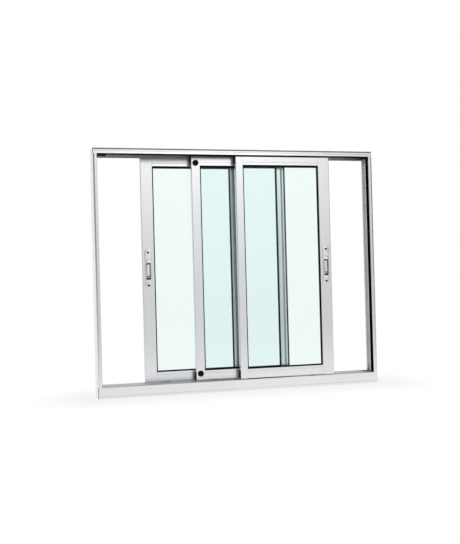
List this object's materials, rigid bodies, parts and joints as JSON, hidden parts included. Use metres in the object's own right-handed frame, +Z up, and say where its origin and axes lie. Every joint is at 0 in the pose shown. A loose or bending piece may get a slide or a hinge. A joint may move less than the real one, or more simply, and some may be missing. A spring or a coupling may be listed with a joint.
{
  "type": "horizontal sliding window",
  "caption": "Silver aluminium window with glazed sashes that slide sideways past each other on parallel tracks, with flush thumb latches on the outer stiles.",
  "frame": {"origin": "under the middle of the sill, where the window stands", "axes": "+Z up, +X to the right along the sill seen from the front, -Y towards the front"},
  "size_m": [1.2, 0.098, 1],
  "materials": {
    "anodised_aluminium": "satin silver anodised extrusion",
    "clear_glass": "clear float glass with a faint green tint",
    "black_rubber": "matte black extruded and moulded rubber",
    "black_pile": "dense black brush pile",
    "grey_pile": "dense grey brush pile",
    "grey_nylon": "moulded nylon",
    "cast_latch_metal": "die-cast and satin coated",
    "brass": "dull rolled brass",
    "steel_screw": "dull plated steel"
  },
  "bodies": {
    "frame": {"head": "anodised_aluminium", "sill": "anodised_aluminium", "left_jamb": "anodised_aluminium", "right_jamb": "anodised_aluminium", "left_jamb_seal": "black_pile", "right_jamb_seal": "black_pile", "head_seal": "black_pile", "corner_pads": "black_rubber"},
    "left_sash": {"left_sash_left_stile": "anodised_aluminium", "left_sash_right_stile": "anodised_aluminium", "left_sash_top_rail": "anodised_aluminium", "left_sash_bottom_rail": "anodised_aluminium", "left_sash_glass": "clear_glass", "left_sash_gasket": "black_rubber", "left_sash_rollers": "grey_nylon", "left_sash_guides": "grey_nylon", "left_sash_interlock_seal": "grey_pile", "left_latch_plate": "cast_latch_metal", "left_latch_screws": "steel_screw"},
    "middle_sash": {"middle_sash_left_stile": "anodised_aluminium", "middle_sash_right_stile": "anodised_aluminium", "middle_sash_top_rail": "anodised_aluminium", "middle_sash_bottom_rail": "anodised_aluminium", "middle_sash_glass": "clear_glass", "middle_sash_gasket": "black_rubber", "middle_sash_rollers": "grey_nylon", "middle_sash_guides": "grey_nylon", "middle_sash_edge_seal": "black_pile", "middle_sash_buttons": "black_rubber", "middle_sash_interlock_seal": "grey_pile", "middle_sash_dust_blocks": "black_rubber"},
    "right_sash": {"right_sash_left_stile": "anodised_aluminium", "right_sash_right_stile": "anodised_aluminium", "right_sash_top_rail": "anodised_aluminium", "right_sash_bottom_rail": "anodised_aluminium", "right_sash_glass": "clear_glass", "right_sash_gasket": "black_rubber", "right_sash_rollers": "grey_nylon", "right_sash_guides": "grey_nylon", "right_sash_dust_blocks": "black_rubber", "right_latch_plate": "cast_latch_metal", "right_latch_screws": "steel_screw"},
    "left_latch": {"left_latch_thumb": "cast_latch_metal", "left_latch_tongue": "brass"},
    "right_latch": {"right_latch_thumb": "cast_latch_metal", "right_latch_tongue": "brass"}
  },
  "joints": [
    {"name": "left_sash_slide", "type": "slide", "parent": "frame", "child": "left_sash", "axis": [1, 0, 0], "range_m": [-0.187, 0.575]},
    {"name": "middle_sash_slide", "type": "slide", "parent": "frame", "child": "middle_sash", "axis": [1, 0, 0], "range_m": [-0.395, 0.374]},
    {"name": "right_sash_slide", "type": "slide", "parent": "frame", "child": "right_sash", "axis": [1, 0, 0], "range_m": [-0.576, 0.186]},
    {"name": "left_latch_slide", "type": "slide", "parent": "left_sash", "child": "left_latch", "axis": [0, 0, 1], "range_m": [-0.006, 0], "stiffness_N_per_m": 300, "springref_m": 0.004},
    {"name": "right_latch_slide", "type": "slide", "parent": "right_sash", "child": "right_latch", "axis": [0, 0, 1], "range_m": [-0.006, 0], "stiffness_N_per_m": 300, "springref_m": 0.004}
  ]
}
